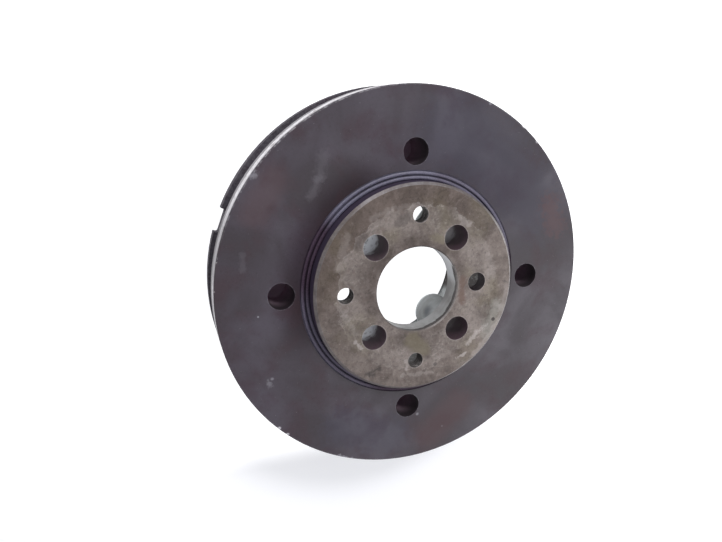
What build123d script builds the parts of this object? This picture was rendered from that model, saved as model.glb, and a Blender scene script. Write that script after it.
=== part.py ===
from build123d import *
from math import radians, tan
import os

# Harmonic balancer of a crankshaft: a cup-shaped hub, an elastomer ring bonded round it,
# and a heavy inertia ring that carries the belt grooves and the timing notch.
# Millimetres. The axis is Z. The balancer stands on the open rear end of its hub,
# at Z = 0, with the bolting face up. The four face holes lie on X and Y.

os.makedirs("parts", exist_ok=True)

# Hub
hub_diameter = 89.4
hub_face_rise = 6.8
hub_tail_length = 8.9
hub_edge_chamfer = 1.1
hub_wall = 9.3
web_thickness = 6.0

# Centre bore and the collar that stiffens it under the web
bore_chamfer = 0.5
collar_wall = 2.6
collar_height = 3.3

# Four long bolt holes, each in a boss that grows out of the cavity wall. The first one is
# turned a little out of its even place, so that the balancer fits in one position only.
bolt_count = 4
bolt_hole_diameter = 10.8
bolt_to_wall = 8.5
bolt_to_bore = 8.7
first_bolt_turn = 6.9
boss_diameter = 16.2
boss_height = 19.8
boss_root_fillet = 2.2

# Three tapping holes for a puller, and the locating hole that takes the fourth place
puller_hole_places = 4
puller_hole_diameter = 6.8
puller_hole_to_wall = 3.8
locating_hole_diameter = 8.2
locating_hole_outset = 0.5
locating_hole_turn = 2.6

# Elastomer ring: two lips in front with a groove between them, and a plain rear
elastomer_thickness = 4.1
lip_groove_width = 1.2
lip_groove_depth = 0.6
inner_lip_rise = 0.5
outer_lip_rise = 0.3
elastomer_rear_recess = 0.8

# Inertia ring
ring_diameter = 165.0
ring_edge_chamfer = 0.5
front_flange_width = 9.7
rear_flange_width = 4.56
rear_flange_drop = 0.2

# Belt grooves, a ribbed-belt section between the two flanges
groove_count = 4
groove_pitch = 3.56
groove_angle = 40.0
rib_top_width = 0.9
rib_drop = 2.3

# Timing notch, milled through the rear flange to a floor just clear of the rib tops
notch_width = 10.2
notch_turn = 160.2
notch_corner_radius = 1.0
notch_rib_clearance = 0.1

# Blind holes in the face of the inertia ring
face_hole_count = 4
face_hole_diameter = 11.1
face_hole_inset = 7.4
face_hole_floor = 9.6

groove_mouth = groove_pitch - rib_top_width
groove_zone_width = groove_count * groove_pitch - rib_top_width
ring_width = front_flange_width + groove_zone_width + rear_flange_width
ring_rear = hub_tail_length
ring_front = ring_rear + ring_width
grooves_front = ring_front - front_flange_width
grooves_rear = ring_rear + rear_flange_width
hub_face = ring_front + hub_face_rise
web_under = hub_face - web_thickness
boss_end = web_under - boss_height

cavity_diameter = hub_diameter - 2 * hub_wall
ring_bore_diameter = hub_diameter + 2 * elastomer_thickness
bolt_circle_diameter = cavity_diameter - 2 * bolt_to_wall
bore_diameter = bolt_circle_diameter - 2 * bolt_to_bore
puller_circle_diameter = cavity_diameter - 2 * puller_hole_to_wall
face_hole_circle_diameter = ring_bore_diameter + 2 * face_hole_inset
cut_margin = 1.0


def ring_section():
    """Return the inertia ring's section on XZ, with its flanges and belt grooves."""
    bore_radius = ring_bore_diameter / 2
    front_radius = ring_diameter / 2
    rear_radius = front_radius - rear_flange_drop
    rib_radius = front_radius - rib_drop
    floor_radius = rib_radius - groove_mouth / 2 / tan(radians(groove_angle / 2))

    points = [
        (bore_radius, ring_front),
        (front_radius - ring_edge_chamfer, ring_front),
        (front_radius, ring_front - ring_edge_chamfer),
        (front_radius, grooves_front),
    ]
    for index in range(groove_count):
        start = grooves_front - index * groove_pitch
        points += [
            (rib_radius, start),
            (floor_radius, start - groove_mouth / 2),
            (rib_radius, start - groove_mouth),
        ]
    points += [
        (rear_radius, grooves_rear),
        (rear_radius, ring_rear),
        (bore_radius, ring_rear),
    ]
    return make_face(Plane.XZ * Polyline(points, close=True))


def timing_notch():
    """Return the cutter of the notch in the rear flange, with rounded inner corners."""
    floor_radius = ring_diameter / 2 - rib_drop + notch_rib_clearance
    depth = ring_diameter / 2 - floor_radius + cut_margin
    length = rear_flange_width + 2 * cut_margin
    block = Box(depth, notch_width, length, align=(Align.MIN, Align.CENTER, Align.CENTER))
    floor_edges = block.edges().filter_by(Axis.Z).group_by(Axis.X)[0]
    block = fillet(floor_edges, notch_corner_radius)
    block = Pos(floor_radius, 0, (ring_rear + grooves_rear) / 2) * block
    return Rot(0, 0, notch_turn) * block


def blind_hole(diameter, depth):
    """Return the cutter of a flat-bottomed blind hole, with its mouth at Z = 0."""
    return Cylinder(diameter / 2, 2 * depth)


def through_hole(diameter, top, bottom):
    """Return the cutter of a plain through hole from top down to bottom."""
    length = top - bottom + 2 * cut_margin
    return Pos(0, 0, (top + bottom) / 2) * Cylinder(diameter / 2, length)


def chamfered_hole(diameter, top, bottom, mouth_chamfer):
    """Return the cutter of a through hole from top down to bottom, chamfered at the top."""
    countersink = Cone(
        diameter / 2,
        diameter / 2 + mouth_chamfer + cut_margin,
        mouth_chamfer + cut_margin,
        align=(Align.CENTER, Align.CENTER, Align.MIN),
    )
    return through_hole(diameter, top, bottom) + Pos(0, 0, top - mouth_chamfer) * countersink


def make_inertia_ring():
    """Return the inertia ring with its belt grooves, timing notch and face holes."""
    ring = revolve(ring_section(), Axis.Z)
    ring -= timing_notch()
    depth = ring_width - face_hole_floor
    hole = Pos(0, 0, ring_front) * blind_hole(face_hole_diameter, depth)
    for place in PolarLocations(face_hole_circle_diameter / 2, face_hole_count):
        ring -= place * hole
    return ring


def hub_section():
    """Return the solid section of the hub's outside on XZ, before it is hollowed."""
    radius = hub_diameter / 2
    points = [
        (0, 0),
        (radius, 0),
        (radius, hub_face - hub_edge_chamfer),
        (radius - hub_edge_chamfer, hub_face),
        (0, hub_face),
    ]
    return make_face(Plane.XZ * Polyline(points, close=True))


def bolt_places():
    """Return the places of the bolt holes: evenly spaced, but for the first one."""
    spacing = 360 / bolt_count
    turns = [spacing * (index + 0.5) for index in range(bolt_count)]
    turns[0] += first_bolt_turn
    return [Rot(0, 0, turn) * Pos(bolt_circle_diameter / 2, 0) for turn in turns]


def lobed_outline():
    """Return the outline of the cavity where the four bolt bosses stand into it."""
    wall_radius = cavity_diameter / 2
    neck_length = wall_radius - bolt_circle_diameter / 2 + cut_margin
    boss = Circle(boss_diameter / 2)
    boss += Rectangle(neck_length, boss_diameter, align=(Align.MIN, Align.CENTER))
    outline = Circle(wall_radius)
    for place in bolt_places():
        outline -= place * boss
    wall_corners = outline.vertices().sort_by_distance((0, 0, 0))[-2 * bolt_count:]
    return fillet(wall_corners, boss_root_fillet)


def hub_cavity():
    """Return the cutter of the rear cavity: an open mouth below, a lobed pocket above."""
    wall_radius = cavity_diameter / 2
    pocket = extrude(Pos(0, 0, boss_end) * lobed_outline(), web_under - boss_end)
    mouth_length = boss_end + cut_margin
    mouth = Cylinder(wall_radius, mouth_length, align=(Align.CENTER, Align.CENTER, Align.MAX))
    return pocket + Pos(0, 0, boss_end) * mouth


def make_hub():
    """Return the hub: web, wall, bolt bosses, bore collar and every hole in the web."""
    hub = revolve(hub_section(), Axis.Z)
    hub -= hub_cavity()

    collar_radius = bore_diameter / 2 + collar_wall
    collar_length = collar_height + cut_margin
    collar = Cylinder(collar_radius, collar_length, align=(Align.CENTER, Align.CENTER, Align.MAX))
    hub += Pos(0, 0, web_under + cut_margin) * collar
    hub -= chamfered_hole(bore_diameter, hub_face, 0, bore_chamfer)

    bolt_hole = through_hole(bolt_hole_diameter, hub_face, boss_end)
    for place in bolt_places():
        hub -= place * bolt_hole

    puller_hole = through_hole(puller_hole_diameter, hub_face, web_under)
    puller_places = list(PolarLocations(puller_circle_diameter / 2, puller_hole_places))
    for place in puller_places[1:]:
        hub -= place * puller_hole

    locating_hole = through_hole(locating_hole_diameter, hub_face, web_under)
    reach = bolt_circle_diameter / 2 + locating_hole_outset
    hub -= Rot(0, 0, locating_hole_turn) * Pos(reach, 0, 0) * locating_hole
    return hub


def make_elastomer_ring():
    """Return the elastomer ring that fills the gap between the hub and the inertia ring."""
    inner = hub_diameter / 2
    outer = ring_bore_diameter / 2
    middle = (inner + outer) / 2
    half_groove = lip_groove_width / 2
    rear = ring_rear + elastomer_rear_recess
    points = [
        (inner, ring_front + inner_lip_rise),
        (middle - half_groove, ring_front + inner_lip_rise),
        (middle, ring_front - lip_groove_depth),
        (middle + half_groove, ring_front + outer_lip_rise),
        (outer, ring_front + outer_lip_rise),
        (outer, rear),
        (inner, rear),
    ]
    section = make_face(Plane.XZ * Polyline(points, close=True))
    return revolve(section, Axis.Z)


for node, solid in (
    ("hub", make_hub()),
    ("elastomer_ring", make_elastomer_ring()),
    ("inertia_ring", make_inertia_ring()),
):
    export_step(solid, f"parts/{node}.step")
    print(node, round(solid.volume), len(solid.solids()), solid.is_valid)
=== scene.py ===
import logging
import math
from dataclasses import dataclass, replace
from enum import Enum
from typing import Dict, Optional, Sequence, Tuple, Union

import bpy
from mathutils import Euler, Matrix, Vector


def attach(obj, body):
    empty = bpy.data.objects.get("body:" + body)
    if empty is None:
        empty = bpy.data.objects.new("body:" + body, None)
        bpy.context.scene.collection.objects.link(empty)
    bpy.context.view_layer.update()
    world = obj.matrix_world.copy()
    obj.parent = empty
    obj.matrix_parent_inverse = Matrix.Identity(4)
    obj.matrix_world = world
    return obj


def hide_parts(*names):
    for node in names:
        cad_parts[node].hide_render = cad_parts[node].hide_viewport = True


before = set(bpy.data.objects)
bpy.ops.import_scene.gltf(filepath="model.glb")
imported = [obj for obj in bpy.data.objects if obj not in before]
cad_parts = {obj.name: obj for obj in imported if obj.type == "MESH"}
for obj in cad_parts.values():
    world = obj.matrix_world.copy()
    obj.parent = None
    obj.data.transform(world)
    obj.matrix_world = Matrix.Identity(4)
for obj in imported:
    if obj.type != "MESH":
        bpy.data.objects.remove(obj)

Colour = Tuple[float, float, float]
Point = Tuple[float, float, float]
Place = Tuple[float, float]
Span = Tuple[float, float]
Socket = bpy.types.NodeSocket
Value = Union[float, Socket]
Tint = Union[Colour, Socket]
Way = Union[Point, Vector, Socket]

MM = 0.001
FULL_TURN = 2.0 * math.pi
BODY = "root"
WHITE: Colour = (1.0, 1.0, 1.0)
IN_PLAN: Point = (1.0, 1.0, 0.0)

# Each edge gives two distances from a wall or a level, in millimetres: the first is where
# a mask has faded to nothing, and the second is where it is full.
HOLE_WALL_EDGE: Span = (0.10, 0.04)
BELOW_FACE_EDGE: Span = (-0.02, -0.12)
ABOVE_FLOOR_EDGE: Span = (-0.5, -0.4)
AT_FACE_EDGE: Span = (-0.3, -0.1)
OUTER_SKIN_EDGE: Span = (-0.12, -0.04)
ABOVE_LEVEL_EDGE: Span = (-0.1, 0.1)
UNDER_LEVEL_EDGE: Span = (0.0, -0.1)

log = logging.getLogger("balancer")


class Blend(Enum):
    """How one colour is laid over another."""

    COVER = "MIX"
    DARKEN = "MULTIPLY"


class Mix(Enum):
    """What is mixed: the kind, and the sockets of the first, the second and the result."""

    COLOUR = ("RGBA", 6, 7, 2)
    NUMBER = ("FLOAT", 2, 3, 0)


class Sum(Enum):
    """Arithmetic that a mask is made with."""

    ADD = "ADD"
    SUBTRACT = "SUBTRACT"
    TIMES = "MULTIPLY"
    DIVIDE = "DIVIDE"
    MOST = "MAXIMUM"
    ANGLE = "ARCTAN2"
    SINE = "SINE"


class Arrow(Enum):
    """Arithmetic on places and directions, and the output that holds its result."""

    SCALE = ("SCALE", "Vector")
    STRETCH = ("MULTIPLY", "Vector")
    SUBTRACT = ("SUBTRACT", "Vector")
    UNIT = ("NORMALIZE", "Vector")
    LENGTH = ("LENGTH", "Value")
    ALONG = ("DOT_PRODUCT", "Value")
    APART = ("DISTANCE", "Value")


@dataclass(frozen=True)
class Grain:
    """Cloudy grain of one kind.

    The size of its largest blotches is in millimetres. Detail is its number of finer
    layers, and rough is their weight. Warp bends the blotches, stretch gives factors
    along the three axes, and seed picks the slice.
    """

    size: float
    detail: float
    rough: float
    warp: float = 0.0
    stretch: Optional[Point] = None
    seed: float = 0.0


@dataclass(frozen=True)
class Blotches:
    """Grain that is faded from low to high between two of its levels."""

    grain: Grain
    start: float
    end: float
    low: float = 0.0
    high: float = 1.0


@dataclass(frozen=True)
class Arc:
    """Sector round the axis: its middle, half width and soft side, in degrees."""

    middle: float
    half: float
    soft: float


@dataclass(frozen=True)
class ToolMarks:
    """Fine circular marks of a lathe tool, in millimetres.

    Waver is how unevenly they are spaced, in pitches, and seed picks its slice.
    """

    pitch: float
    waver: float
    seed: float
    depth: float


SPOT_GRAIN = Grain(1.6, 2.0, 0.55)
STREAK_GRAIN = Grain(2.6, 4.0, 0.62, warp=0.8)
STREAK_LEVELS: Span = (0.28, 0.72)


class NodeBoard:
    """Node tree with short methods for the steps that finishes and studio are made of."""

    def __init__(self, tree: bpy.types.NodeTree) -> None:
        """Take a tree over and empty it."""
        self.tree = tree
        self.tree.nodes.clear()

    def node(self, kind: str) -> bpy.types.Node:
        """Add a node of that kind."""
        return self.tree.nodes.new(kind)

    def join(self, source: Socket, target: Socket) -> None:
        """Link one socket to another."""
        self.tree.links.new(source, target)

    def feed(self, target: Socket, value: Union[Value, Tint, Way]) -> None:
        """Give a socket its value: a number, a colour, a direction or another socket.

        Args:
            target: The input socket to fill.
            value: What goes into it.
        """
        if isinstance(value, bpy.types.NodeSocket):
            self.join(value, target)
        elif target.type == "RGBA":
            target.default_value = (*value, 1.0)
        else:
            target.default_value = value

    def sum(self, kind: Sum, a: Value, b: Value = 0.0) -> Socket:
        """Work out one arithmetic step.

        Args:
            kind: The arithmetic to do.
            a: First number.
            b: Second number, where the arithmetic has one.

        Returns:
            The result.
        """
        step = self.node("ShaderNodeMath")
        step.operation = kind.value
        self.feed(step.inputs[0], a)
        self.feed(step.inputs[1], b)
        return step.outputs[0]

    def most(self, *masks: Value) -> Value:
        """Keep the strongest of several masks.

        Args:
            masks: The masks, each from 0 to 1.

        Returns:
            The strongest one at each place.
        """
        strongest = masks[0]
        for mask in masks[1:]:
            strongest = self.sum(Sum.MOST, strongest, mask)
        return strongest

    def product(self, *masks: Value) -> Value:
        """Multiply several masks.

        Args:
            masks: The masks to multiply.

        Returns:
            Their product.
        """
        result = masks[0]
        for mask in masks[1:]:
            result = self.sum(Sum.TIMES, result, mask)
        return result

    def arrow(self, kind: Arrow, a: Way, b: Union[Way, Value, None] = None) -> Socket:
        """Work out one step with places or directions.

        Args:
            kind: The arithmetic to do.
            a: First place or direction.
            b: The second one, or the factor of a scaling.

        Returns:
            The result, which is a direction or a plain number.
        """
        operation, result = kind.value
        step = self.node("ShaderNodeVectorMath")
        step.operation = operation
        self.feed(step.inputs[0], a)
        if b is not None:
            self.feed(step.inputs["Scale"] if kind is Arrow.SCALE else step.inputs[1], b)
        return step.outputs[result]

    def split(self, place: Socket) -> Sequence[Socket]:
        """Split a place into its three coordinates.

        Args:
            place: The place to split.

        Returns:
            Its coordinates along X, Y and Z.
        """
        parts = self.node("ShaderNodeSeparateXYZ")
        self.join(place, parts.inputs[0])
        return parts.outputs

    def fade(self, value: Value, start: float, end: float,
             low: Value = 0.0, high: Value = 1.0) -> Socket:
        """Turn a number into a smooth fade from low at start to high at end.

        Args:
            value: The number that the fade follows.
            start: Where the fade begins.
            end: Where the fade ends.
            low: Result before the start.
            high: Result after the end.

        Returns:
            The faded number.
        """
        step = self.node("ShaderNodeMapRange")
        step.interpolation_type = "SMOOTHSTEP"
        self.feed(step.inputs["Value"], value)
        self.feed(step.inputs["From Min"], start)
        self.feed(step.inputs["From Max"], end)
        self.feed(step.inputs["To Min"], low)
        self.feed(step.inputs["To Max"], high)
        return step.outputs["Result"]

    def edge(self, value: Value, level: float, offsets: Span) -> Socket:
        """Mask one side of a wall or a level.

        Args:
            value: The number to test, such as a radius or a height.
            level: Where the wall or the level is.
            offsets: Distances from it where the mask is nothing and where it is full.

        Returns:
            1 on the masked side and 0 on the other.
        """
        return self.fade(value, level + offsets[0], level + offsets[1])

    def mix(self, kind: Mix, under: Union[Value, Tint], over: Union[Value, Tint],
            amount: Value, how: Blend = Blend.COVER) -> Socket:
        """Mix two colours or two numbers.

        Args:
            kind: What is mixed.
            under: Result where the amount is 0.
            over: What the amount brings in.
            amount: How far the mix goes.
            how: The way that two colours are combined.

        Returns:
            The mixed colour or number.
        """
        data_type, first, second, result = kind.value
        step = self.node("ShaderNodeMix")
        step.data_type = data_type
        step.blend_type = how.value
        self.feed(step.inputs[0], amount)
        self.feed(step.inputs[first], under)
        self.feed(step.inputs[second], over)
        return step.outputs[result]

    def lay(self, under: Tint, over: Tint, amount: Value, how: Blend = Blend.COVER) -> Socket:
        """Lay one colour over another, as far as the amount goes."""
        return self.mix(Mix.COLOUR, under, over, amount, how)

    def blend(self, low: Value, high: Value, amount: Value) -> Socket:
        """Blend two plain numbers, from low at 0 to high at 1."""
        return self.mix(Mix.NUMBER, low, high, amount)

    def backdrop_rays(self) -> Socket:
        """Mark the rays on which the surround shows as a plain white backdrop."""
        rays = self.node("ShaderNodeLightPath").outputs
        return self.most(rays["Is Camera Ray"], rays["Is Glossy Ray"], rays["Is Transmission Ray"])


class Paintbox(NodeBoard):
    """Node tree of one material, with the masks and the grain that the finishes use.

    Lengths inside the tree are millimetres, measured in the part's own frame.
    """

    def __init__(self, name: str) -> None:
        """Start a material with its surface shader and the place of each point.

        Args:
            name: Name of the material.
        """
        self.material = bpy.data.materials.new(name)
        self.material.use_nodes = True
        super().__init__(self.material.node_tree)
        self.made: Dict[Grain, Socket] = {}
        self.shader = self.node("ShaderNodeBsdfPrincipled")
        output = self.node("ShaderNodeOutputMaterial")
        self.join(self.shader.outputs["BSDF"], output.inputs["Surface"])
        metres = self.node("ShaderNodeTexCoord").outputs["Object"]
        self.place = self.arrow(Arrow.SCALE, metres, 1.0 / MM)
        self.x, self.y, self.z = self.split(self.place)
        in_plan = self.arrow(Arrow.STRETCH, self.place, IN_PLAN)
        self.radius = self.arrow(Arrow.LENGTH, in_plan)
        self.outward = self.arrow(Arrow.UNIT, in_plan)

    def band(self, value: Value, low: float, high: float, soft: float) -> Socket:
        """Mask what lies between two numbers.

        Args:
            value: The number to test.
            low: Lower side of the band.
            high: Upper side of the band.
            soft: Width of the fade at each side.

        Returns:
            1 inside the band and 0 outside it.
        """
        rise = self.fade(value, low - soft / 2, low + soft / 2)
        fall = self.fade(value, high - soft / 2, high + soft / 2, 1.0, 0.0)
        return self.product(rise, fall)

    def grain(self, kind: Grain) -> Socket:
        """Make cloudy grain, or give the same grain again if it is there already.

        Args:
            kind: The grain to make.

        Returns:
            A number round 0.5.
        """
        if kind not in self.made:
            step = self.node("ShaderNodeTexNoise")
            step.noise_dimensions = "4D"
            place = self.place
            if kind.stretch is not None:
                place = self.arrow(Arrow.STRETCH, place, kind.stretch)
            self.feed(step.inputs["Vector"], place)
            self.feed(step.inputs["W"], kind.seed)
            self.feed(step.inputs["Scale"], 1.0 / kind.size)
            self.feed(step.inputs["Detail"], kind.detail)
            self.feed(step.inputs["Roughness"], kind.rough)
            self.feed(step.inputs["Distortion"], kind.warp)
            self.made[kind] = step.outputs["Fac"]
        return self.made[kind]

    def blotches(self, kind: Blotches) -> Socket:
        """Make blotches from their grain."""
        return self.fade(self.grain(kind.grain), kind.start, kind.end, kind.low, kind.high)

    def rings(self, marks: ToolMarks) -> Socket:
        """Make the fine circular marks of a lathe tool.

        Args:
            marks: Their pitch and how uneven they are.

        Returns:
            A number from -1 to 1 that repeats along the radius.
        """
        slowness, layers = 0.21, 4.0
        uneven = self.node("ShaderNodeTexNoise")
        uneven.noise_dimensions = "1D"
        count = self.sum(Sum.DIVIDE, self.radius, marks.pitch)
        slow = self.sum(Sum.ADD, self.product(count, slowness), marks.seed)
        self.feed(uneven.inputs["W"], slow)
        self.feed(uneven.inputs["Detail"], layers)
        shifted = self.sum(Sum.ADD, count, self.product(uneven.outputs["Fac"], marks.waver))
        return self.sum(Sum.SINE, self.product(shifted, FULL_TURN))

    def sector(self, arc: Arc) -> Socket:
        """Mask a sector round the axis.

        Args:
            arc: Its middle, half width and soft side.

        Returns:
            1 inside the sector and 0 outside it.
        """
        facing = self.arrow(Arrow.ALONG, self.outward, on_circle(1.0, arc.middle, 0.0))
        start = math.cos(math.radians(arc.half + arc.soft))
        return self.fade(facing, start, math.cos(math.radians(arc.half)))

    def from_axis(self, centre: Point) -> Socket:
        """Measure the distance in plan from an upright axis, in millimetres.

        Args:
            centre: A point on the axis.

        Returns:
            The distance from it.
        """
        offset = self.arrow(Arrow.SUBTRACT, self.place, centre)
        return self.arrow(Arrow.LENGTH, self.arrow(Arrow.STRETCH, offset, IN_PLAN))

    def bores(self, centres: Sequence[Point], radius: float, top: float,
              bottom: float = 0.0) -> Socket:
        """Mask the walls of a set of upright holes.

        Args:
            centres: Where the holes are.
            radius: Radius of the holes.
            top: Height of the face that they open in.
            bottom: Height of their floor.

        Returns:
            1 inside the holes, below the face and down to the floor.
        """
        walls = [self.edge(self.from_axis(centre), radius, HOLE_WALL_EDGE) for centre in centres]
        below = self.edge(self.z, top, BELOW_FACE_EDGE)
        return self.product(self.most(*walls), below, self.edge(self.z, bottom, ABOVE_FLOOR_EDGE))

    def rims(self, centres: Sequence[Point], radius: float, width: float, top: float) -> Socket:
        """Mask a thin line round the mouth of each of a set of holes.

        Args:
            centres: Where the holes are.
            radius: Radius of the holes.
            width: Width of the line.
            top: Height of the face that they open in.

        Returns:
            1 on the line, fading outward.
        """
        lines = [self.edge(self.from_axis(centre), radius, (width, 0.0)) for centre in centres]
        return self.product(self.most(*lines), self.edge(self.z, top, AT_FACE_EDGE))

    def thread(self, centre: Point, pitch: float) -> Socket:
        """Make the helical ridge of a tapped hole.

        Args:
            centre: Where the hole is.
            pitch: Distance between turns in millimetres.

        Returns:
            A number from -1 to 1 that repeats along the hole.
        """
        across = self.sum(Sum.SUBTRACT, self.x, centre[0])
        turn = self.sum(Sum.ANGLE, self.sum(Sum.SUBTRACT, self.y, centre[1]), across)
        climb = self.product(self.z, FULL_TURN / pitch)
        return self.sum(Sum.SINE, self.sum(Sum.ADD, climb, turn))

    def spot(self, centre: Point, size: float, soft: float) -> Socket:
        """Mask a round spot with a ragged edge.

        Args:
            centre: Middle of the spot in millimetres.
            size: Radius of the spot.
            soft: Width of its faded edge.

        Returns:
            1 in the spot and 0 outside it.
        """
        ragged = self.product(self.grain(SPOT_GRAIN), soft)
        away = self.sum(Sum.ADD, self.arrow(Arrow.APART, self.place, centre), ragged)
        return self.fade(away, size + soft / 2, size + soft * 1.5, 1.0, 0.0)

    def stroke(self, start: Point, end: Point, width: float, soft: float,
               ragged: float) -> Socket:
        """Mask a straight mark such as a scratch or a wiped streak.

        Args:
            start: One end in millimetres.
            end: The other end.
            width: Half the width of the mark.
            soft: Width of its faded edge.
            ragged: How far its edge wanders.

        Returns:
            1 on the mark and 0 away from it.
        """
        along = Vector(end) - Vector(start)
        offset = self.arrow(Arrow.SUBTRACT, self.place, start)
        share = self.node("ShaderNodeClamp")
        self.feed(share.inputs["Value"],
                  self.arrow(Arrow.ALONG, offset, along / along.length_squared))
        foot = self.arrow(Arrow.SCALE, along, share.outputs[0])
        side_grain = replace(STREAK_GRAIN, seed=width * 7.0)
        wander = self.blotches(Blotches(side_grain, *STREAK_LEVELS, -ragged, ragged))
        away = self.sum(Sum.ADD, self.arrow(Arrow.APART, offset, foot), wander)
        return self.fade(away, width, width + soft, 1.0, 0.0)

    def relief(self, height: Value, depth: float, under: Optional[Socket] = None) -> Socket:
        """Raise the surface by a height map.

        Args:
            height: The map, where 1 is the full depth.
            depth: Full depth in millimetres.
            under: Relief that this one is added to.

        Returns:
            The bumped surface direction.
        """
        step = self.node("ShaderNodeBump")
        self.feed(step.inputs["Strength"], 1.0)
        self.feed(step.inputs["Distance"], depth * MM)
        self.feed(step.inputs["Height"], height)
        if under is not None:
            self.join(under, step.inputs["Normal"])
        return step.outputs["Normal"]

    def finish(self, colour: Tint, rough: Value, metal: Value, normal: Socket,
               gloss: Value) -> bpy.types.Material:
        """Wire the shader and hand the material over.

        Args:
            colour: Base colour.
            rough: Roughness.
            metal: How metallic the surface is.
            normal: Surface direction after relief.
            gloss: Strength of the sheen, where 0.5 is a plain surface.

        Returns:
            The finished material.
        """
        self.feed(self.shader.inputs["Base Color"], colour)
        self.feed(self.shader.inputs["Roughness"], rough)
        self.feed(self.shader.inputs["Metallic"], metal)
        self.feed(self.shader.inputs["Specular IOR Level"], gloss)
        self.join(normal, self.shader.inputs["Normal"])
        return self.material


def on_circle(radius: float, degrees: float, height: float) -> Point:
    """Give a point on a circle round the axis, in the unit of the radius."""
    turn = math.radians(degrees)
    return (radius * math.cos(turn), radius * math.sin(turn), height)


@dataclass(frozen=True)
class Mark:
    """One mark of use on a face: a spot, or where it has an end, a scratch or a streak."""

    start: Place
    end: Optional[Place]
    width: float
    soft: float
    colour: Colour
    strength: float
    ragged: float = 0.9

    def lay_on(self, box: Paintbox, under: Tint, height: float) -> Socket:
        """Lay the mark over a colour.

        Args:
            box: Where the material is made.
            under: The colour below.
            height: Height of the face that the mark is on.

        Returns:
            The marked colour.
        """
        start = (*self.start, height)
        if self.end is None:
            shape = box.spot(start, self.width, self.soft)
        else:
            shape = box.stroke(start, (*self.end, height), self.width, self.soft, self.ragged)
        return box.lay(under, self.colour, box.product(shape, self.strength))


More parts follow.
